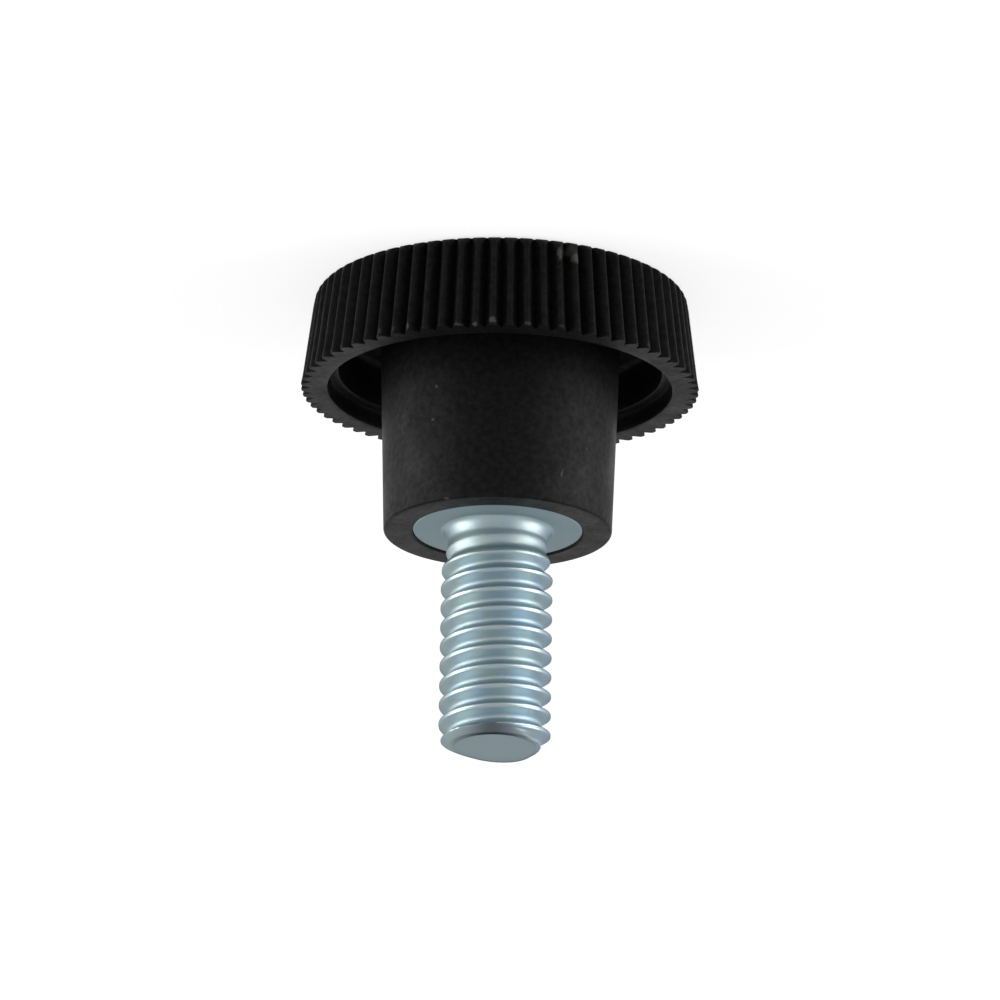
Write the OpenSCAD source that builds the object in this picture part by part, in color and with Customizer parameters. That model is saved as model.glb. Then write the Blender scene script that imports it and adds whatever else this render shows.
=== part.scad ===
// Thumb screw: a knurled plastic head pressed on a socket head cap screw.
// It stands on the flat top of its head, with the thread pointing up.
// Z = 0 is the flat top, and the Z axis is the axis of the thread.

/* [Rim] */
// Diameter over the ridges, at the open side of the rim
rim_d = 28; // [24:0.1:32]
// Diameter over the ridges, at the flat top
top_d = 26.15; // [22:0.1:27]
// Height of the rim
rim_h = 6.9; // [5:0.05:9]
// Number of ridges round the rim
ridges = 72; // [48:1:90]
// Depth of the valleys between the ridges
ridge_depth = 0.75; // [0.4:0.05:0.9]
// Radius of each ridge's crest
ridge_round = 0.25; // [0.1:0.05:0.4]
// Rounding of the ridges at the open side
open_round = 0.1; // [0.05:0.05:0.4]
// Rounding of the ridges at the flat top
top_round = 0.6; // [0.1:0.05:0.8]

/* [Recess] */
// Thickness of the rim at its mouth, measured from the ridges' crests
mouth_wall = 1.9; // [1.5:0.01:2.4]
// Depth of the wide mouth
mouth_h = 1.25; // [0.8:0.05:2]
// Width of the flat ledge inside the mouth
ledge_w = 0.75; // [0.3:0.05:1.2]
// Thickness of the web that closes the top
web = 2.5; // [1.5:0.1:3.5]
// Draft of the moulded walls in degrees
draft = 1.75; // [0.5:0.1:2.5]
// Radius of the inside corners on the web
corner_r = 0.6; // [0.2:0.1:0.9]

/* [Hub] */
// Length by which the hub stands out of the rim
hub_len = 10.5; // [8:0.05:14]
// Thickness of the plastic round the screw's head, at the hub's end
hub_wall = 2.04; // [1.5:0.01:3]
// Rounding of the hub's outer edge
hub_round = 0.15; // [0.1:0.05:0.6]
// Chamfer at the mouth of the screw's pocket
pocket_chamfer = 0.15; // [0.05:0.05:0.4]

/* [Cap screw] */
// Depth by which the screw's bearing face lies below the hub's end
sunk = 0.1; // [0:0.05:0.3]
// Diameter of the screw's head
screw_head_d = 11.9; // [11:0.05:13]
// Height of the screw's head
screw_head_h = 7.92; // [5:0.01:9]
// Chamfer on the buried end of the screw's head
screw_head_chamfer = 0.8; // [0.3:0.1:1.2]
// Broken edge round the bearing face
bearing_edge = 0.12; // [0.05:0.01:0.3]
// Width across the flats of the hexagon socket
socket_af = 6.35; // [5:0.05:7]
// Depth of the hexagon socket
socket_depth = 3.9; // [2.5:0.1:4.5]
// Length of the screw below its head
screw_len = 15.875; // [12:0.125:25]
// Radius of the fillet under the head
neck_fillet = 0.5; // [0.2:0.05:0.7]

/* [Thread] */
// Major diameter of the thread
thread_d = 7.8; // [7.2:0.05:8.4]
// Threads in each inch
tpi = 18; // [14:1:24]
// Length of the plain neck between the bearing face and the thread
neck_len = 1.37; // [0.8:0.01:3]
// Height of the thread's crests above the neck
neck_step = 0.36; // [0.2:0.02:0.5]
// Turns over which the thread rises to its full height
run_in = 1.5; // [1:0.1:2.5]
// Diameter of the flat point
point_d = 6.72; // [6:0.01:7]
// Length of the chamfer at the point
point_len = 0.78; // [0.4:0.01:1.5]
// Angle round the axis at which the thread starts, in degrees
thread_start = 142; // [0:1:359]

/* [Hidden] */
$fn = 96;

// Spare length by which a cutting shape stands past what it cuts
spare = 1;

// Heights along the axis
head_h = rim_h + hub_len;
bearing_z = head_h - sunk;
ledge_z = rim_h - mouth_h;

// Radii of the plastic head
rim_r = rim_d / 2;
rim_taper = (rim_r - top_d / 2) / rim_h;
rim_lean = atan(rim_taper);
mouth_r = rim_r - mouth_wall;
throat_r = mouth_r - ledge_w;
hub_end_r = screw_head_d / 2 + hub_wall;

// A unified inch thread: 60 degree flanks, blunt crests a fifth of the pitch wide, and a full root
pitch = 25.4 / tpi;
thread_r = thread_d / 2;
thread_depth = 0.51 * pitch;
crest_flat = pitch / 5;
neck_r = thread_r - neck_step;
flank = tan(30);
root_half = (pitch - crest_flat) / 2 - thread_depth * flank;
steps_per_turn = 36;
// Distance by which the groove's cutting shape clears the neck and the crest
groove_clear = 0.1;

function rim_r_at(z) = top_d / 2 + z * rim_taper;
function hub_r_at(z) = hub_end_r + (head_h - z) * tan(draft);
function throat_r_at(z) = throat_r - (ledge_z - z) * tan(draft);

// Points of an arc round a centre, from one angle to another
function arc(centre, radius, from, to, steps) =
    [for (i = [0:steps]) let (a = from + (to - from) * i / steps) centre + radius * [cos(a), sin(a)]];

// Half outline of the plastic head. Outside, it stands clear of the ridges, and its rounded corners
// trim their ends.
function knob_section() = concat(
    [[0, 0]],
    arc([rim_r_at(top_round) - top_round / cos(rim_lean), top_round], top_round, -90, -rim_lean - 4, 5),
    [[rim_r + spare, top_round + spare], [rim_r + spare, rim_h - open_round - spare]],
    arc([rim_r - open_round, rim_h - open_round], open_round, 15, 90, 4),
    [[mouth_r, rim_h], [mouth_r, ledge_z], [throat_r, ledge_z]],
    arc([throat_r_at(web + corner_r) - corner_r, web + corner_r], corner_r, 0, -90, 5),
    arc([hub_r_at(web + corner_r) + corner_r, web + corner_r], corner_r, -90, -180, 5),
    arc([hub_end_r - hub_round, head_h - hub_round], hub_round, 0, 90, 4),
    [[0, head_h]]
);

// Outline across the ridges: each has a round crest and straight flanks that run down to a sharp
// valley. The flanks touch the crest's circle, and crest_half is half the angle of its arc.
module ridged_outline(crest_r) {
    half_step = 180 / ridges;
    valley_r = crest_r - ridge_depth;
    to_valley = [valley_r * sin(half_step), valley_r * cos(half_step) - crest_r + ridge_round];
    crest_half = atan2(to_valley[0], to_valley[1]) - acos(min(ridge_round / norm(to_valley), 1));
    polygon([
        for (i = [0:ridges - 1])
            let (a = 2 * half_step * i, centre = (crest_r - ridge_round) * [cos(a), sin(a)])
                each concat(
                    arc(centre, ridge_round, a - crest_half, a + crest_half, 5),
                    [valley_r * [cos(a + half_step), sin(a + half_step)]]
                )
    ]);
}

// The ridges run the full height of the rim, and lean in towards the top with it
module ridged_blank() {
    wide_r = rim_r + spare * rim_taper;
    narrow_r = top_d / 2 - spare * rim_taper;
    translate([0, 0, rim_h + spare])
        mirror([0, 0, 1])
            linear_extrude(height = rim_h + 2 * spare, scale = narrow_r / wide_r)
                ridged_outline(wide_r);
}

// What the screw's head takes out of the hub, with a chamfered mouth
module screw_pocket() {
    head_r = screw_head_d / 2;
    floor_z = bearing_z - screw_head_h;
    rotate_extrude()
        polygon([
            [0, floor_z],
            [head_r - screw_head_chamfer, floor_z],
            [head_r, floor_z + screw_head_chamfer],
            [head_r, head_h - pocket_chamfer],
            [head_r + pocket_chamfer + spare, head_h + spare],
            [0, head_h + spare]
        ]);
}

// Knurled head, moulded in one piece: ridged rim, web, deep recess and hub
module knob() {
    color([0.09, 0.09, 0.095])
        difference() {
            intersection() {
                rotate_extrude() polygon(knob_section());
                union() {
                    ridged_blank();
                    translate([0, 0, rim_h]) cylinder(r = hub_r_at(0), h = hub_len + spare);
                }
            }
            screw_pocket();
        }
}

// Half outline of the screw before its thread is rolled, measured from the bearing face
function screw_section() = concat(
    [
        [0, -screw_head_h],
        [screw_head_d / 2 - screw_head_chamfer, -screw_head_h],
        [screw_head_d / 2, screw_head_chamfer - screw_head_h],
        [screw_head_d / 2, -bearing_edge],
        [screw_head_d / 2 - bearing_edge, 0]
    ],
    arc([neck_r + neck_fillet, neck_fillet], neck_fillet, -90, -180, 5),
    [
        [neck_r, neck_len],
        [thread_r, neck_len + run_in * pitch],
        [thread_r, screw_len - point_len],
        [point_d / 2, screw_len],
        [0, screw_len]
    ]
);

// Hexagon socket with the shallow cone that the punch leaves
module hexagon_socket() {
    translate([0, 0, -screw_head_h]) {
        translate([0, 0, -spare]) cylinder(d = socket_af / cos(30), h = socket_depth + spare, $fn = 6);
        translate([0, 0, socket_depth]) cylinder(d1 = socket_af, d2 = 0, h = socket_af / 4);
    }
}

// Radius of the groove's root at one height above the bearing face: it dips in over the run-in
function root_r_at(z) =
    let (share = min(max((z - neck_len) / (run_in * pitch), 0), 1))
        (neck_r + groove_clear) * (1 - share) + (thread_r - thread_depth) * share;

// The groove's section at one point of the helix: two corners at the root and two outside the crest
function groove_corners(z, angle) =
    let (
        root = root_r_at(z),
        outside = thread_r + groove_clear,
        outer_half = root_half + (outside - root) * flank,
        side = [cos(angle), sin(angle)]
    )
        [for (p = [[outside, -outer_half], [root, -root_half], [root, root_half], [outside, outer_half]])
            [p[0] * side[0], p[0] * side[1], z + p[1]]];

// Right-hand groove that winds from the neck to past the point
module thread_groove() {
    turns = (screw_len + pitch - neck_len) / pitch;
    stations = ceil(turns * steps_per_turn);
    points = [
        for (i = [0:stations])
            each groove_corners(neck_len + pitch * i / steps_per_turn, thread_start + 360 * i / steps_per_turn)
    ];
    sides = [
        for (i = [0:stations - 1], k = [0:3])
            let (a = 4 * i + k, b = 4 * i + (k + 1) % 4)
                each [[b + 4, b, a], [a + 4, b + 4, a]]
    ];
    last = 4 * stations;
    polyhedron(points, concat(sides, [[0, 1, 2, 3], [last + 3, last + 2, last + 1, last]]), convexity = 20);
}

// Socket head cap screw: its head is pressed into the hub, with the bearing face just below the end
module cap_screw() {
    color([0.62, 0.68, 0.71])
        translate([0, 0, bearing_z])
            difference() {
                rotate_extrude() polygon(screw_section());
                hexagon_socket();
                thread_groove();
            }
}

knob();
cap_screw();
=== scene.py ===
# %% [markdown]
# # A knurled thumb screw
#
# This lesson dresses a small thumb screw. It is two things pressed together: a black moulded plastic
# head and a zinc plated steel cap screw. The construction comes from a fixed frame, and each step
# here makes one surface or one finish.

# %% Load the frame
import math

import bmesh
import bpy
import numpy as np
from mathutils import Matrix, Vector


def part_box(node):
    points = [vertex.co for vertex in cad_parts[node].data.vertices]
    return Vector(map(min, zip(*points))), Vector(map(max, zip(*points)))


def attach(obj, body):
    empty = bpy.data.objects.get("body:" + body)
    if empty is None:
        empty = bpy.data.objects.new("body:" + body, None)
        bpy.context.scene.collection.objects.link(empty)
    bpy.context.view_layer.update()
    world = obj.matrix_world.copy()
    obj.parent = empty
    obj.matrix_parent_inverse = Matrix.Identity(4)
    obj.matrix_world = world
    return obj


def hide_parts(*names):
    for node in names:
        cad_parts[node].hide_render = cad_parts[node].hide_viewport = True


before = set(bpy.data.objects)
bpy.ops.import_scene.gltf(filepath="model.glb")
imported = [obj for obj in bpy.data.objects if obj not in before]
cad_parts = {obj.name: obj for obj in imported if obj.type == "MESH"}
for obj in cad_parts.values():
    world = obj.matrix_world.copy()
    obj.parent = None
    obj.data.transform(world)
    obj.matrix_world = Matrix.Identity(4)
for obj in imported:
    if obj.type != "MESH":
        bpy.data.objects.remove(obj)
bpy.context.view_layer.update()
print("nodes in the frame:", sorted(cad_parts))

# %% [markdown]
# ## Sizes
#
# Blender works in metres and a small part is easiest to think of in millimetres, so every size of the
# part is in millimetres, and one factor turns them to metres when a mesh is made. The floor, the
# lamps' sizes and the distances of the softboxes and the camera are in metres. What the frame can
# tell, such as where the head ends, is read from the frame.

# %% Sizes in millimetres
MM = 0.001
knob_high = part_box("knob")[1] / MM
screw_low, screw_high = (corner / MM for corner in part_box("cap_screw"))

hub_end_z = knob_high.z
rim_h = 6.9
sunk = 0.1
bearing_z = hub_end_z - sunk
pocket_floor_z = screw_low.z
point_z = screw_high.z
screw_head_r = screw_high.x
screw_head_chamfer = 0.8
print(f"hub ends at {hub_end_z:.2f} mm, bearing face at {bearing_z:.2f} mm, point at {point_z:.2f} mm")

# %% [markdown]
# ## A mesh from rings
#
# Everything here was turned, moulded round a core or rolled, so every surface is a stack of rings
# round one axis. A ring may be round, like the hub, or wavy, like the ridged rim. One helper joins
# each ring to the next with four-sided faces and closes both ends with a fan. The rings are plain
# number arrays, which makes ridges and threads easy to write as formulas.


# %% Join rings into a closed mesh
def ring_points(radius, height, angles):
    """One ring: a point for each angle, with a radius and a height that may vary round it."""
    radius = np.broadcast_to(radius, angles.shape)
    height = np.broadcast_to(height, angles.shape)
    return np.column_stack([radius * np.cos(angles), radius * np.sin(angles), height])


def closed_mesh(name, rings, climbing=(0, 0), rows_per_turn=0, sharp_deg=35):
    """Joins rings with the same number of points, and closes the first and last with a fan.

    A climbing row doesn't close on itself: it runs on into the row that starts one turn above it.
    """
    count = len(rings[0])
    centres = [[0, 0, rings[0][:, 2].mean()], [0, 0, rings[-1][:, 2].mean()]]
    points = np.vstack([*rings, centres]) * MM
    here = np.arange(count)
    faces = []
    for row in range(len(rings) - 1):
        climbs = climbing[0] <= row < climbing[1]
        ends = [min(row + k + rows_per_turn, climbing[1]) if climbs else row + k for k in (0, 1)]
        low = np.append(row * count + here, ends[0] * count)
        high = np.append(row * count + count + here, ends[1] * count)
        faces += np.column_stack([low[:-1], low[1:], high[1:], high[:-1]]).tolist()
    last_ring = (len(rings) - 1) * count
    faces += [[len(points) - 2, (i + 1) % count, i] for i in range(count)]
    faces += [[len(points) - 1, last_ring + i, last_ring + (i + 1) % count] for i in range(count)]
    mesh = bpy.data.meshes.new(name)
    mesh.from_pydata(points.tolist(), [], faces)
    work = bmesh.new()
    work.from_mesh(mesh)
    bmesh.ops.remove_doubles(work, verts=work.verts, dist=1e-8)
    bmesh.ops.dissolve_degenerate(work, dist=1e-8, edges=work.edges)
    bmesh.ops.recalc_face_normals(work, faces=work.faces)
    work.to_mesh(mesh)
    open_edges = sum(not edge.is_manifold for edge in work.edges)
    work.free()
    mesh.shade_smooth()
    mesh.set_sharp_from_angle(angle=math.radians(sharp_deg))
    piece = bpy.data.objects.new(name, mesh)
    bpy.context.scene.collection.objects.link(piece)
    print(f"{name}: {len(mesh.polygons)} faces, {open_edges} open edges")
    return piece


def arc(centre_r, centre_z, radius, start, stop, steps):
    """Points of a rounded corner in the half section, angles in degrees."""
    turns = np.radians(np.linspace(start, stop, steps + 1))
    return [(centre_r + radius * math.cos(t), centre_z + radius * math.sin(t)) for t in turns]


# %% [markdown]
# ## The ridges
#
# The rim is knurled for the fingers: 72 ridges stand side by side, each with a round crest and
# straight flanks, and two neighbours meet in a sharp valley. Half a ridge is drawn as a few points,
# from its crest down to the valley, and then mirrored and repeated. The rim leans in towards the
# flat top, and the outline shrinks with it, so a point keeps its angle at every height.

# %% Half a ridge
ridges = 72
ridge_step = 360 / ridges
rim_r = 13.995
ridge_depth = 0.74
ridge_round = 0.25
half_step = math.radians(ridge_step / 2)
valley_r = rim_r - ridge_depth
valley = Vector((valley_r * math.cos(half_step), valley_r * math.sin(half_step)))
crest_centre = Vector((rim_r - ridge_round, 0))
to_valley = valley - crest_centre
crest_half = math.atan2(to_valley.y, to_valley.x) - math.acos(ridge_round / to_valley.length)
half_ridge = [
    crest_centre + ridge_round * Vector((math.cos(turn), math.sin(turn)))
    for turn in (0, crest_half / 3, crest_half * 2 / 3, crest_half)
]
half_ridge += [half_ridge[-1].lerp(valley, 0.5), valley]
print("half a ridge:", [tuple(round(c, 2) for c in point) for point in half_ridge])

# %% Points round a ring
ridge_points = [Vector((point.x, -point.y)) for point in half_ridge[4:0:-1]] + half_ridge
across_ridge = np.array([math.degrees(math.atan2(point.y, point.x)) for point in ridge_points])
ring_degrees = (np.arange(ridges)[:, None] * ridge_step + across_ridge[None, :]).ravel()
ring_angles = np.radians(ring_degrees)
ridged_outline = np.tile([point.length for point in ridge_points], ridges)
print(len(ring_angles), "points round each ring")

# %% Ridged wall
top_r = 13.075
rim_taper = (rim_r - top_r) / rim_h
top_round = 0.8
open_round = 0.12
flare = 0.05
flare_h = 1.2


def crest_radius(height):
    """Radius over the ridges, with a slight flare at the open side."""
    flared = max((height - rim_h) / flare_h + 1, 0) ** 2
    return rim_r - rim_taper * (rim_h - height) - flare * (1 - flared) * height / rim_h


def ridge_radius(height):
    """Radius of the ridged wall at one height."""
    return ridged_outline * crest_radius(height) / rim_r


def corner_radius(height):
    """How far out the rounded corners at the top and at the open side let the wall reach."""
    if height < top_round:
        start = crest_radius(top_round) - top_round
        return start + math.sqrt(top_round**2 - (top_round - height) ** 2)
    if height > rim_h - open_round:
        reach = open_round**2 - (height - rim_h + open_round) ** 2
        return rim_r - open_round + math.sqrt(max(reach, 0))
    return rim_r + 1


def soft_min(a, b, width=0.04):
    """The smaller of two radii, with the corner between them rounded off."""
    return (a + b - np.sqrt((a - b) ** 2 + width**2)) / 2


# %% Outer wall of the rim
wall_heights = np.concatenate(
    [
        top_round * (1 - np.cos(np.radians([18, 36, 52, 66, 78, 90]))),
        np.linspace(0.9, 5.4, 12),
        [5.65, 5.85, 6.05, 6.2, 6.35],
        rim_h - open_round + open_round * np.sin(np.radians([0, 25, 45, 65, 80])),
    ]
)
rows = []


def add_row(radius, height):
    """Keeps one ring of the knob."""
    rows.append(ring_points(radius, height, ring_angles))


# Rings spread over the flat top keep its faces small
for flat_r in (3.0, 6.0, 9.0, 11.0, 12.0):
    add_row(flat_r, 0.0)
add_row(soft_min(ridge_radius(0.0), corner_radius(0.0)), 0.0)
for height in wall_heights:
    add_row(soft_min(ridge_radius(height), corner_radius(height)), height)
print(len(rows), "rings up to the open side of the rim")

# %% [markdown]
# ## The hollow rim
#
# Behind the ridges the head is hollow: a short wall, a narrow ledge and then a deep wall down to
# the web that closes the top. Moulded walls lean a little so that the part leaves its mould, and
# inside corners are rounded. The section is drawn as a path of radii and heights.

# %% Section of the recess and the hub
mouth_r = 12.1
mouth_h = 1.25
ledge_w = 0.75
throat_r = mouth_r - ledge_w
ledge_z = rim_h - mouth_h
web = 2.5
draft = math.tan(math.radians(1.75))
floor_round = 0.6
hub_wall = 2.04
hub_end_r = screw_head_r + hub_wall
hub_round = 0.18
pocket_chamfer = 0.15
edge_break = 0.07


def hub_radius(height):
    """The hub tapers towards its end."""
    return hub_end_r + (hub_end_z - height) * draft


def between(start, stop, steps):
    """Points along a straight stretch, both ends left out."""
    shares = np.linspace(0, 1, steps + 2)[1:-1]
    return [(start[0] + (stop[0] - start[0]) * s, start[1] + (stop[1] - start[1]) * s) for s in shares]


# %% Rings of the open side, the recess, the hub and the screw's pocket
just_below = rim_h - 0.004
face_start = soft_min(ridge_radius(just_below), corner_radius(just_below))
for share in (0.0, 0.25, 0.5, 0.8):
    blend = share**1.5
    face_r = face_start * (1 - blend) + (mouth_r + edge_break) * blend
    add_row(face_r, rim_h)
deep_r = throat_r - (ledge_z - web - floor_round) * draft
floor_z = web + floor_round
hub_start = (hub_radius(floor_z), floor_z)
hub_stop = (hub_end_r, hub_end_z - hub_round)
section = [
    *arc(mouth_r + edge_break, rim_h - edge_break, edge_break, 90, 180, 3),
    *between((mouth_r, rim_h), (mouth_r, ledge_z), 2),
    *arc(mouth_r - edge_break, ledge_z + edge_break, edge_break, 0, -90, 2),
    *between((mouth_r, ledge_z), (throat_r, ledge_z), 1),
    *arc(throat_r + edge_break, ledge_z - edge_break, edge_break, 90, 180, 3),
    *between((throat_r, ledge_z), (deep_r, floor_z), 2),
    *arc(deep_r - floor_round, floor_z, floor_round, 0, -90, 4),
    *arc(hub_start[0] + floor_round, floor_z, floor_round, -90, -180, 4),
    *between(hub_start, hub_stop, 14),
    *arc(hub_end_r - hub_round, hub_end_z - hub_round, hub_round, 0, 90, 6),
    *between((hub_end_r - hub_round, hub_end_z), (screw_head_r + pocket_chamfer, hub_end_z), 3),
    (screw_head_r + pocket_chamfer, hub_end_z),
    (screw_head_r + 0.03, hub_end_z - 0.12),
    (screw_head_r, hub_end_z - 0.3),
    (screw_head_r, pocket_floor_z + screw_head_chamfer),
    (screw_head_r - screw_head_chamfer, pocket_floor_z),
    (3.0, pocket_floor_z),
]
for radius, height in section:
    add_row(radius, height)
print(len(rows), "rings in the knob")

# %% The knob
knob = closed_mesh("moulded_knob", rows)
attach(knob, "root")
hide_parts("knob")

# %% [markdown]
# ## The thread
#
# A rolled thread is one groove that winds round the shank. Its section is simple, and its place
# climbs by one pitch in each turn. So the rows of the mesh climb with it: every row keeps to one
# place in the groove's section, which leaves the crests smooth. Where the thread starts and ends,
# the rows are clamped to a level, and the points that fall together are merged.
#
# The groove starts shallow at the neck and deepens over its run-in. Under the head the neck flares
# out in a long fillet. The far end is left as rolling leaves it: its edge isn't a true circle, and
# on one side the last turn is folded over.

# %% Sizes of the thread, the neck and the end
pitch = 25.4 / 18
thread_r = 3.9
thread_depth = 0.51 * pitch
crest_half_width = pitch / 10
neck_r = 3.4
neck_fillet = 0.62
neck_flare = 1.6
neck_len = 0.85
run_in = 2.3
crest_turn = 1.174
# Widths over which the corners at the crests and at the roots are rounded off
crest_soft = 0.09
root_soft = 0.2
# The rolled end isn't a true circle: its edge is given as angles round the axis and radii
end_edge = np.array(
    [(0, 2.95), (30, 2.82), (52, 2.8), (75, 3.1), (98, 3.45), (117, 3.55), (146, 3.05)]
    + [(180, 2.95), (210, 3.15), (240, 3.4), (268, 3.55), (300, 3.35), (330, 3.05)]
)
end_round = 0.5
# Where the last turn is folded over: degrees round the axis, half width, depth and fade
fold_at = 268
fold_half_width = 62
fold_depth = 0.62
fold_fade = 0.25
print(f"pitch {pitch:.3f} mm, thread {2 * thread_r:.1f} mm across")


# %% Radius of the shank at any place
def end_radius(degrees):
    """Radius of the edge of the flat end."""
    turned_by = range(-15, 16, 3)
    steps = [np.interp(degrees + k, end_edge[:, 0], end_edge[:, 1], period=360) for k in turned_by]
    return np.mean(steps, axis=0)


def thread_drop(phase):
    """How deep the groove is at a place in the pitch: phase 0 is a crest and 0.5 a root."""
    away = np.abs((phase + 0.5) % 1 - 0.5) * pitch
    slope = 1 / math.tan(math.radians(30))
    cut = (away - crest_half_width) * slope
    cut = (cut + np.sqrt(cut**2 + crest_soft**2)) / 2
    return thread_depth - (thread_depth - cut + np.sqrt((thread_depth - cut) ** 2 + root_soft**2)) / 2


def shank_radius(degrees, height):
    """Radius of the threaded shank, with its run-in at the neck and its rounded end."""
    phase = (height - point_z) / pitch - degrees / 360 + crest_turn
    below = point_z - height
    rise = np.clip((height - bearing_z - neck_len) / run_in, 0, 1)
    crest = neck_r + (thread_r - neck_r) * rise
    flare_share = np.clip(1 - (height - bearing_z) / neck_flare, 0, 1)
    flare_out = neck_fillet * (1 - np.sqrt(1 - flare_share**2))
    # Where the last turn is folded over, its groove is filled
    folded = np.clip(1 - np.abs((degrees - fold_at + 180) % 360 - 180) / fold_half_width, 0, 1)
    folded = folded * folded * (3 - 2 * folded) * np.clip((fold_depth - below) / fold_fade, 0, 1)
    body = crest - thread_drop(phase) * (1 - folded) * rise**1.3 + flare_out
    edge = end_radius(degrees)
    share = np.clip((below - 0.05) / end_round, 0, 1)
    rounded = edge + (thread_r - edge) * share**0.75 + np.where(share < 1, 0, 1)
    return soft_min(body, rounded, 0.05)


# %% Rows in the thread's section
columns = 120
thread_turn = np.arange(columns) * 360 / columns
screw_angles = np.radians(thread_turn)
profile = np.array([0, 0.03, 0.06, 0.09, 0.125, 0.17, 0.22, 0.27, 0.32, 0.37, 0.42, 0.46])
profile = np.concatenate([profile, [0.5], 1 - profile[:0:-1]])
thread_low = bearing_z + 0.4
thread_high = point_z - 0.05
turns = math.ceil((thread_high - thread_low) / pitch) + 2
print("screw profile has", len(profile), "rows in each pitch")

# %% Section of the head and the flared neck
socket_r = 6.35 / 2
socket_depth = 3.9
head_section = [
    (socket_r * 0.5, pocket_floor_z + socket_depth),
    (socket_r, pocket_floor_z + socket_depth),
    (socket_r, pocket_floor_z),
    (screw_head_r - screw_head_chamfer, pocket_floor_z),
    (screw_head_r, pocket_floor_z + screw_head_chamfer),
    (screw_head_r, bearing_z - 0.12),
    (screw_head_r - 0.03, bearing_z - 0.05),
    (screw_head_r - 0.1, bearing_z - 0.01),
    (screw_head_r - 0.2, bearing_z),
    *between((screw_head_r, bearing_z), (neck_r + neck_fillet, bearing_z), 4),
    *[
        (
            neck_r + neck_fillet * (1 - math.sin(math.radians(turn))),
            bearing_z + neck_flare * (1 - math.cos(math.radians(turn))),
        )
        for turn in (0, 6, 12, 19, 26, 34, 41)
    ],
]
print(len(head_section), "rings in the head and the neck")

# %% Rings of the screw, from the buried head to the slightly dished end
screw_rows = [ring_points(radius, height, screw_angles) for radius, height in head_section]
first_row = len(screw_rows)
for place in np.concatenate([profile[:-1] + k for k in range(turns)]):
    height = np.clip(thread_low + pitch * (place - 1 + thread_turn / 360), thread_low, thread_high)
    screw_rows.append(ring_points(shank_radius(thread_turn, height), height, screw_angles))
last_row = len(screw_rows) - 1
point_outline = shank_radius(thread_turn, thread_high)
for inward, lift in ((0.02, 0.035), (0.06, 0.05), (0.13, 0.05), (0.22, 0.035), (0.32, 0.02)):
    screw_rows.append(ring_points(point_outline - inward, thread_high + lift, screw_angles))
for share in (0.6, 0.3):
    screw_rows.append(ring_points(point_outline * share, thread_high, screw_angles))
cap_screw = closed_mesh("plated_cap_screw", screw_rows, (first_row, last_row), len(profile) - 1)

# %% [markdown]
# ## Painted shade on the edge of the end
#
# Shade is painted on the edge of the flat end, darkest where it faces the viewer and where it faces
# away, in place of the edge's dark reflection and its shade. A number kept on each corner of the mesh
# says how dark the painted shade is there, from 0 to 1. The material reads that number by its name.

# %% Painted shade at the end, from each corner's distance to the edge
corners = np.array([corner.co for corner in cap_screw.data.vertices]) / MM
turned = np.degrees(np.arctan2(corners[:, 1], corners[:, 0])) % 360
edge_r = np.interp(turned, thread_turn, point_outline, period=360)
from_edge = edge_r - np.hypot(corners[:, 0], corners[:, 1])
# Painted shade: a patch just inside the edge and a line on it, strongest towards the viewer and away
sideways = np.abs(np.sin(np.radians(turned)))
patch_half_width = 0.25
patch_fade = 0.15
beside_patch = np.maximum(np.abs(from_edge + patch_half_width) - patch_half_width, 0)
patch = 0.75 * np.exp(-((beside_patch / patch_fade) ** 2)) * sideways**6
line_width = 0.18
line = np.exp(-((from_edge / line_width) ** 2)) * sideways**1.5
painted_edge_shade = np.maximum(patch, line)
edge_shade_depth = 0.7
painted_edge_shade *= corners[:, 2] > point_z - edge_shade_depth
edge_shade_layer = cap_screw.data.attributes.new("painted_edge_shade", "FLOAT", "POINT")
edge_shade_layer.data.foreach_set("value", painted_edge_shade.astype(np.float32))
print("dark corners:", int((painted_edge_shade > 0.5).sum()))

# %% The screw takes the frame's place
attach(cap_screw, "root")
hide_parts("cap_screw")

# %% [markdown]
# ## Colour and nodes
#
# A colour picked on a screen is in sRGB, and a shader wants linear light, so one function turns a
# hex value to linear. Another adds a node, sets its values and joins its inputs, and every material
# below is written with it.


# %% Colour and node helpers
def linear(hex_colour):
    """An sRGB hex colour, such as #8090a0, as linear RGBA."""
    parts = [int(hex_colour[i : i + 2], 16) / 255 for i in (1, 3, 5)]
    return [c / 12.92 if c <= 0.04045 else ((c + 0.055) / 1.055) ** 2.4 for c in parts] + [1.0]


def node(tree, kind, settings=None, **inputs):
    """Adds a node. An input is a value, or another node's output to link from.

    An underscore stands for a space in a socket's name, and a number after it for its index.
    """
    made = tree.nodes.new("ShaderNode" + kind)
    for name, value in (settings or {}).items():
        setattr(made, name, value)
    for name, value in inputs.items():
        socket = made.inputs[int(name[1:])] if name[1:].isdigit() else made.inputs[name.replace("_", " ")]
        if isinstance(value, bpy.types.NodeSocket):
            tree.links.new(value, socket)
        else:
            socket.default_value = value
    return made


def empty_material(name):
    """A material with no nodes in it yet."""
    material = bpy.data.materials.new(name)
    material.use_nodes = True
    material.node_tree.nodes.clear()
    return material, material.node_tree


# %% [markdown]
# ## Black moulded plastic
#
# The head is nylon, coloured black all through and moulded in a fine spark-eroded tool, which leaves
# a satin skin. What the eye meets is mostly its dull reflection: it is rougher in cloudy patches a
# few millimetres across and faintly mottled at about half a millimetre. The real grain is too fine to
# show, so the grain in the relief is drawn 0.16 mm coarse.

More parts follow.
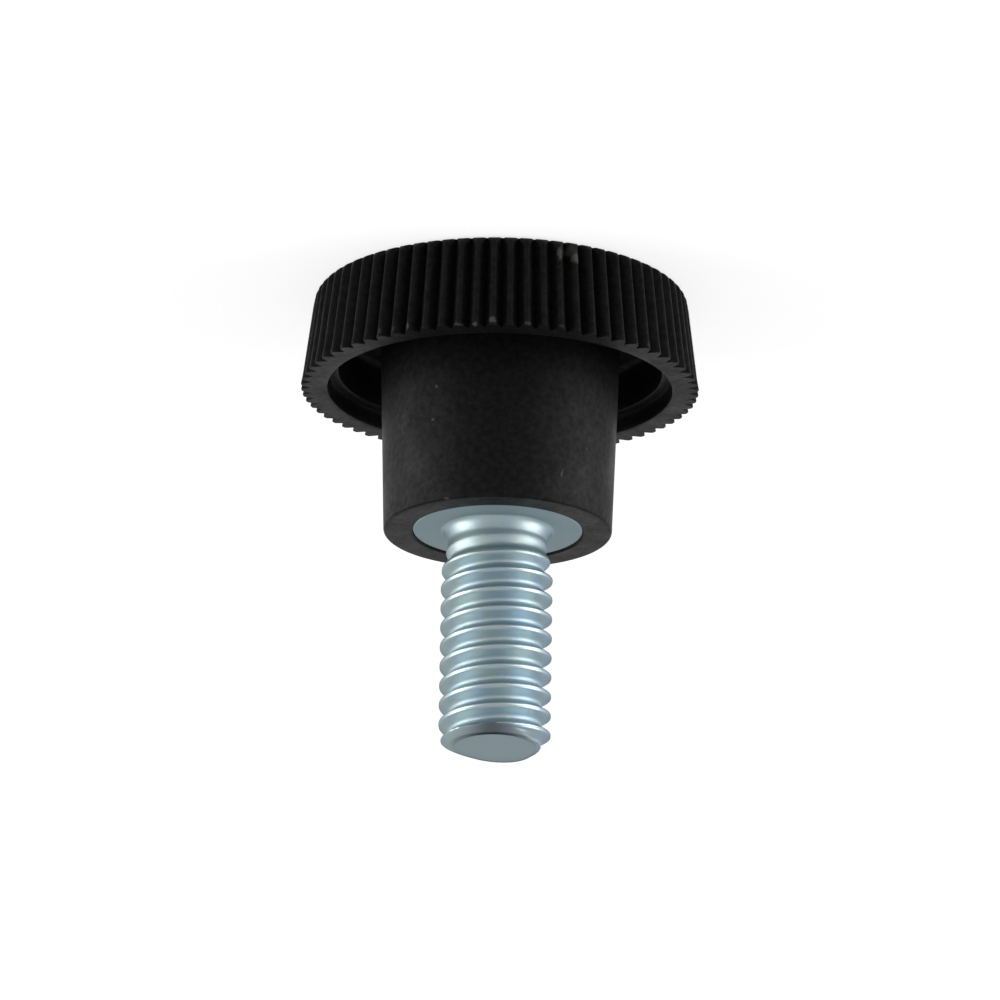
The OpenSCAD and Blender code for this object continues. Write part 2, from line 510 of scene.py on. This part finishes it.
# %% Nylon: patterns and base tint
nylon, tree = empty_material("moulded_black_nylon")
place = node(tree, "TexCoord").outputs["Object"]
cloud = node(tree, "TexNoise", Vector=place, Scale=1 / (2.5 * MM), Detail=4.0, Roughness=0.6)
grain = node(tree, "TexNoise", Vector=place, Scale=1 / (0.16 * MM), Detail=2.0)
roughness = node(
    tree, "MapRange", Value=cloud.outputs["Fac"], From_Min=0.3, From_Max=0.7, To_Min=0.42, To_Max=0.56
)
mottle = node(tree, "TexNoise", Vector=place, Scale=1 / (0.45 * MM), Detail=3.0, Roughness=0.6)
gloss = node(
    tree, "MapRange", Value=mottle.outputs["Fac"], From_Min=0.35, From_Max=0.65, To_Min=0.08, To_Max=0.13
)
tint = node(tree, "ValToRGB", Fac=mottle.outputs["Fac"])
tint.color_ramp.elements[0].position = 0.38
tint.color_ramp.elements[0].color = linear("#0e0e0f")
tint.color_ramp.elements[1].position = 0.66
tint.color_ramp.elements[1].color = linear("#131413")

# %% [markdown]
# ## Marks of handling
#
# The marks of handling are small: nicks on the ends of ridges, a scuff on the edge of the flat top,
# and specks and scratches on the hub. Each is a soft spot round one point of the part, ragged by a
# noise, so it stays in its place from every side. Scraped or chipped plastic turns grey, and it lies
# a little below the skin.

# %% Places of the marks: degrees, radius, height, half width, half height, strength
marks = [
    (-85, 13.95, 6.85, 0.2, 0.14, 0.6),
    (-90, 13.9, 6.5, 0.35, 0.32, 0.6),
    (-80, 13.9, 6.8, 0.45, 0.1, 0.3),
    (-100, 13.9, 6.75, 0.3, 0.16, 0.3),
    (-55.3, 13.9, 6.5, 0.14, 0.3, 0.3),
    (-60, 13.9, 6.6, 0.14, 0.25, 0.2),
    (-64.8, 13.9, 6.55, 0.18, 0.35, 0.4),
    (-110, 13.9, 6.7, 0.25, 0.14, 0.2),
    (-140, 13.9, 6.6, 0.25, 0.2, 0.2),
    (-110, 13.1, 1.15, 0.22, 0.6, 0.7),
    (-115.3, 13.1, 1.3, 0.4, 0.5, 0.75),
    (-112.8, 13.0, 0.75, 0.8, 0.55, 0.35),
    (-60, 8.3, 9.1, 0.12, 0.16, 0.5),
    (-58, 8.2, 11.4, 0.12, 0.13, 0.4),
    (-65.7, 8.0, 17.3, 0.2, 0.12, 0.35),
    (-141.2, 8.1, 12.9, 0.1, 0.12, 0.3),
    (-125.7, 8.1, 15.2, 0.07, 0.4, 0.3),
]

# %% Nylon: a ragged spot at each mark
ragged = node(tree, "TexNoise", Vector=place, Scale=1 / (0.5 * MM), Detail=3.0)
wobble = 0.35
shift = node(
    tree, "VectorMath", {"operation": "SCALE"}, Vector=ragged.outputs["Color"], Scale=wobble * MM
)
wobbly = node(tree, "VectorMath", _0=place, _1=shift.outputs["Vector"])
worn = 0.0
for degrees, radius, height, wide, high, strength in marks:
    turn = math.radians(degrees)
    centre = Vector((radius * math.cos(turn), radius * math.sin(turn), height)) * MM
    # A noise is 0.5 on average, so the shifted place is off by half the wobble
    centre += Vector((wobble / 2, wobble / 2, wobble / 2)) * MM
    local = node(
        tree,
        "Mapping",
        {"vector_type": "TEXTURE"},
        Vector=wobbly.outputs["Vector"],
        Location=centre,
        Rotation=(0, 0, turn),
        Scale=(0.6 * MM, wide * MM, high * MM),
    )
    away = node(tree, "VectorMath", {"operation": "LENGTH"}, _0=local.outputs["Vector"])
    spot = node(
        tree, "MapRange", Value=away.outputs["Value"], From_Min=1.0, From_Max=0.5, To_Max=strength
    )
    worn = node(tree, "Math", {"operation": "MAXIMUM"}, _0=worn, _1=spot.outputs["Result"]).outputs[0]
print(len(marks), "marks on the knob")

# %% Nylon: colour, relief and shader
colour = node(
    tree, "Mix", {"data_type": "RGBA"}, _0=worn, _6=tint.outputs["Color"], _7=linear("#6a6a64")
)
# The depth of a mark is counted in heights of the grain
mark_depth = 3.0
dents = node(tree, "Math", {"operation": "MULTIPLY"}, _0=worn, _1=-mark_depth)
relief = node(tree, "Math", _0=grain.outputs["Fac"], _1=dents.outputs[0])
bump = node(tree, "Bump", Height=relief.outputs[0], Strength=0.25, Distance=0.02 * MM)
skin = node(
    tree,
    "BsdfPrincipled",
    Base_Color=colour.outputs[2],
    Roughness=roughness.outputs["Result"],
    Normal=bump.outputs["Normal"],
    IOR=1.53,
    Specular_IOR_Level=gloss.outputs["Result"],
)
node(tree, "OutputMaterial", Surface=skin.outputs["BSDF"])
knob.data.materials.append(nylon)

# %% [markdown]
# ## Zinc plated steel
#
# The screw is cold-formed steel with a few micrometres of bright zinc and a clear blue passivate. It
# is a metal, so its colour is in its reflection: a cool grey that drifts a little, in patches about
# 2 mm across and from one side of the shank to the other. The surface is slightly pebbled, at about
# a third of a millimetre. Far from the axis, as on the crests, it is smoother than in the roots, and
# the flat faces are duller, and a little darker in colour as painted shade.

# %% Zinc: colour of the film, with painted shade on the flat faces and on the edge of the end
zinc, tree = empty_material("blue_clear_zinc_plate")
place = node(tree, "TexCoord").outputs["Object"]
film = node(tree, "TexNoise", Vector=place, Scale=1 / (2.0 * MM), Detail=3.0, Roughness=0.55)
pebble = node(tree, "TexNoise", Vector=place, Scale=1 / (0.35 * MM), Detail=3.0)
across_x = node(tree, "SeparateXYZ", Vector=place)
drift = node(
    tree,
    "MapRange",
    Value=across_x.outputs["X"],
    From_Min=-4 * MM,
    From_Max=4 * MM,
    To_Min=-0.12,
    To_Max=0.12,
)
film = node(tree, "Math", _0=film.outputs["Fac"], _1=drift.outputs["Result"])
tint = node(tree, "ValToRGB", Fac=film.outputs[0])
tint.color_ramp.elements[0].position = 0.36
tint.color_ramp.elements[0].color = linear("#b0c3ce")
tint.color_ramp.elements[1].position = 0.64
tint.color_ramp.elements[1].color = linear("#b8c8c9")
facing = node(tree, "SeparateXYZ", Vector=node(tree, "TexCoord").outputs["Normal"])
flat_face = node(tree, "MapRange", Value=facing.outputs["Z"], From_Min=0.93, From_Max=0.99)
# Painted shade: the flat faces, which look along the axis, get a darker colour
colour = node(
    tree,
    "Mix",
    {"data_type": "RGBA"},
    _0=flat_face.outputs["Result"],
    _6=tint.outputs["Color"],
    _7=linear("#a9b8bd"),
)
# Painted shade on the edge of the end darkens the colour, read from the number on each corner
painted_edge_shade = node(tree, "Attribute", {"attribute_name": "painted_edge_shade"})
colour = node(
    tree, "Mix", {"data_type": "RGBA"}, _0=painted_edge_shade.outputs["Fac"], _6=colour.outputs[2], _7=linear("#33353b")
)

# %% Zinc: roughness by distance from the axis, and shader
across = node(tree, "VectorMath", {"operation": "MULTIPLY"}, _0=place, _1=(1.0, 1.0, 0.0))
from_axis = node(tree, "VectorMath", {"operation": "LENGTH"}, _0=across.outputs["Vector"])
burnish = node(
    tree,
    "MapRange",
    Value=from_axis.outputs["Value"],
    From_Min=3.4 * MM,
    From_Max=3.85 * MM,
    To_Min=0.5,
    To_Max=0.36,
)
dull = node(tree, "MapRange", Value=flat_face.outputs["Result"], To_Min=0.0, To_Max=0.3)
roughness = node(tree, "Math", _0=burnish.outputs["Result"], _1=dull.outputs["Result"])
bump = node(tree, "Bump", Height=pebble.outputs["Fac"], Strength=0.5, Distance=0.02 * MM)
plate = node(
    tree,
    "BsdfPrincipled",
    Base_Color=colour.outputs[2],
    Metallic=1.0,
    Roughness=roughness.outputs[0],
    Specular_Tint=linear("#8c959a"),
    Normal=bump.outputs["Normal"],
)
node(tree, "OutputMaterial", Surface=plate.outputs["BSDF"])
cap_screw.data.materials.append(zinc)

# %% [markdown]
# ## Floor and world
#
# The part stands on a plain pale floor in a white studio. To the camera the floor and the world are
# plain white. In glossy reflections they are white behind the part and fade to a dimmer level above
# it and in front, as where only the back of a studio is lit. To other rays they are a quieter grey,
# so that they don't flood the part with light. The floor keeps a share of real shading, and so the
# part's shadow.

# %% Floor mesh
floor_mesh = bpy.data.meshes.new("floor")
half = 1.5
floor_corners = [(-half, -half, 0), (half, -half, 0), (half, half, 0), (-half, half, 0)]
floor_mesh.from_pydata(floor_corners, [], [(0, 1, 2, 3)])
floor = bpy.data.objects.new("floor", floor_mesh)
bpy.context.scene.collection.objects.link(floor)
floor.location.z = -0.01 * MM
print("floor:", 2 * half, "m wide")

# %% What each kind of ray sees
# Level of the reflections above and in front of the part
reflected_front = 0.58


def seen_white(tree):
    """1 for camera and transmission rays, and 0 for the rest."""
    rays = node(tree, "LightPath").outputs
    seen = node(
        tree,
        "Math",
        {"operation": "MAXIMUM"},
        _0=rays["Is Camera Ray"],
        _1=rays["Is Transmission Ray"],
    )
    return seen.outputs[0]


def towards_back(tree, coordinate, near, far):
    """Brightness in reflections: dimmer above and in front of the part, and 1 behind it."""
    across = node(
        tree,
        "VectorMath",
        {"operation": "DOT_PRODUCT"},
        _0=node(tree, "TexCoord").outputs[coordinate],
        _1=(0.0, 0.85, -0.53),
    )
    graded = node(
        tree,
        "MapRange",
        {"interpolation_type": "SMOOTHSTEP"},
        Value=across.outputs["Value"],
        From_Min=near,
        From_Max=far,
        To_Min=reflected_front,
    )
    return graded.outputs["Result"]


# %% Floor material
paper, tree = empty_material("white_paper")
shade = node(tree, "BsdfDiffuse", Color=linear("#c8c8c8"))
glow = node(tree, "Emission", Color=linear("#ffffff"), Strength=0.75)
lit = node(tree, "AddShader", _0=shade.outputs[0], _1=glow.outputs[0])
level = towards_back(tree, "Object", -30 * MM, 80 * MM)
mirrored = node(tree, "Emission", Color=linear("#ffffff"), Strength=level)
rays = node(tree, "LightPath").outputs
surface = node(tree, "MixShader", _0=rays["Is Glossy Ray"], _1=shade.outputs[0], _2=mirrored.outputs[0])
surface = node(tree, "MixShader", _0=seen_white(tree), _1=surface.outputs[0], _2=lit.outputs[0])
node(tree, "OutputMaterial", Surface=surface.outputs[0])
floor_mesh.materials.append(paper)

# %% World
world = bpy.data.worlds.new("studio")
bpy.context.scene.world = world
world.use_nodes = True
tree = world.node_tree
tree.nodes.clear()
white = node(tree, "Background", Color=linear("#ffffff"), Strength=1.0)
quiet = node(tree, "Background", Color=linear("#ffffff"), Strength=0.35)
level = towards_back(tree, "Generated", 0.05, 0.9)
mirrored = node(tree, "Background", Color=linear("#ffffff"), Strength=level)
rays = node(tree, "LightPath").outputs
surface = node(tree, "MixShader", _0=rays["Is Glossy Ray"], _1=quiet.outputs[0], _2=mirrored.outputs[0])
surface = node(tree, "MixShader", _0=seen_white(tree), _1=surface.outputs[0], _2=white.outputs[0])
node(tree, "OutputWorld", Surface=surface.outputs[0])

# %% [markdown]
# ## Lamps
#
# Two large softboxes stand left and right, a little in front of the part and 12 degrees above it.
# They draw the two bright streaks down the shank, with a quieter stripe between them. Two small
# reflector sheets lie on the floor to the left and right of the part, and shine up. All four are
# area lamps, so one helper makes them, and each is then turned and placed.


# %% Area lamp
def area_lamp(name, width, height, power):
    """A rectangular lamp, sizes in metres, that shines down its own Z axis."""
    lamp = bpy.data.lights.new(name, "AREA")
    lamp.shape = "RECTANGLE"
    lamp.size = width
    lamp.size_y = height
    lamp.energy = power
    placed = bpy.data.objects.new(name, lamp)
    bpy.context.scene.collection.objects.link(placed)
    return placed


# %% Softboxes
view_azimuth = -92.35
softbox_rise = math.radians(12)
softbox_distance = 0.6
part_middle = Vector((0, 0, 0.016))
for name, to_side in (("softbox_left", -82), ("softbox_right", 82)):
    turn_to = math.radians(view_azimuth + to_side)
    level_part = math.cos(softbox_rise)
    towards = Vector((math.cos(turn_to) * level_part, math.sin(turn_to) * level_part, math.sin(softbox_rise)))
    softbox = area_lamp(name, width=0.45, height=0.36, power=1.65)
    softbox.location = towards * softbox_distance + part_middle
    softbox.rotation_euler = towards.to_track_quat("Z", "Y").to_euler()
    print(name, [round(c, 3) for c in softbox.location])

# %% Reflector sheets
for name, at_x in (("sheet_left", 63), ("sheet_right", -63)):
    sheet = area_lamp(name, width=0.052, height=0.07, power=0.042)
    sheet.location = Vector((at_x, -25, 1)) * MM
    sheet.rotation_euler = (math.pi, 0, 0)
    print(name, [round(c, 3) for c in sheet.location])

# %% [markdown]
# ## Camera
#
# The part is looked at through a long lens, from a little above the level of its open side, and with
# the camera turned over, so that the thread points down in the picture.

# %% Camera
elevation = math.radians(18.5)
roll = math.radians(0.9)
turn_to = math.radians(view_azimuth)
distance = 0.7
seen_width = 69.92
aim_height = 14.99
aim_aside = 0.133
level = Vector((math.cos(turn_to), math.sin(turn_to), 0))
back = level * math.cos(elevation) + Vector((0, 0, math.sin(elevation)))
side = Vector((math.sin(turn_to), -math.cos(turn_to), 0))
down = side.cross(back)
right_way = side * math.cos(roll) - down * math.sin(roll)
up_way = right_way.cross(-back)
camera_data = bpy.data.cameras.new("camera")
camera_data.sensor_width = 36
camera_data.lens = camera_data.sensor_width * distance / (seen_width * MM)
camera = bpy.data.objects.new("camera", camera_data)
bpy.context.scene.collection.objects.link(camera)
aim = Vector((0, 0, aim_height * MM)) + right_way * aim_aside * MM
rotation = Matrix((right_way, up_way, back)).transposed()
camera.matrix_world = Matrix.Translation(aim + back * distance) @ rotation.to_4x4()
bpy.context.scene.camera = camera
bpy.context.scene.view_settings.view_transform = "Standard"
print("lens", round(camera_data.lens, 1), "mm")
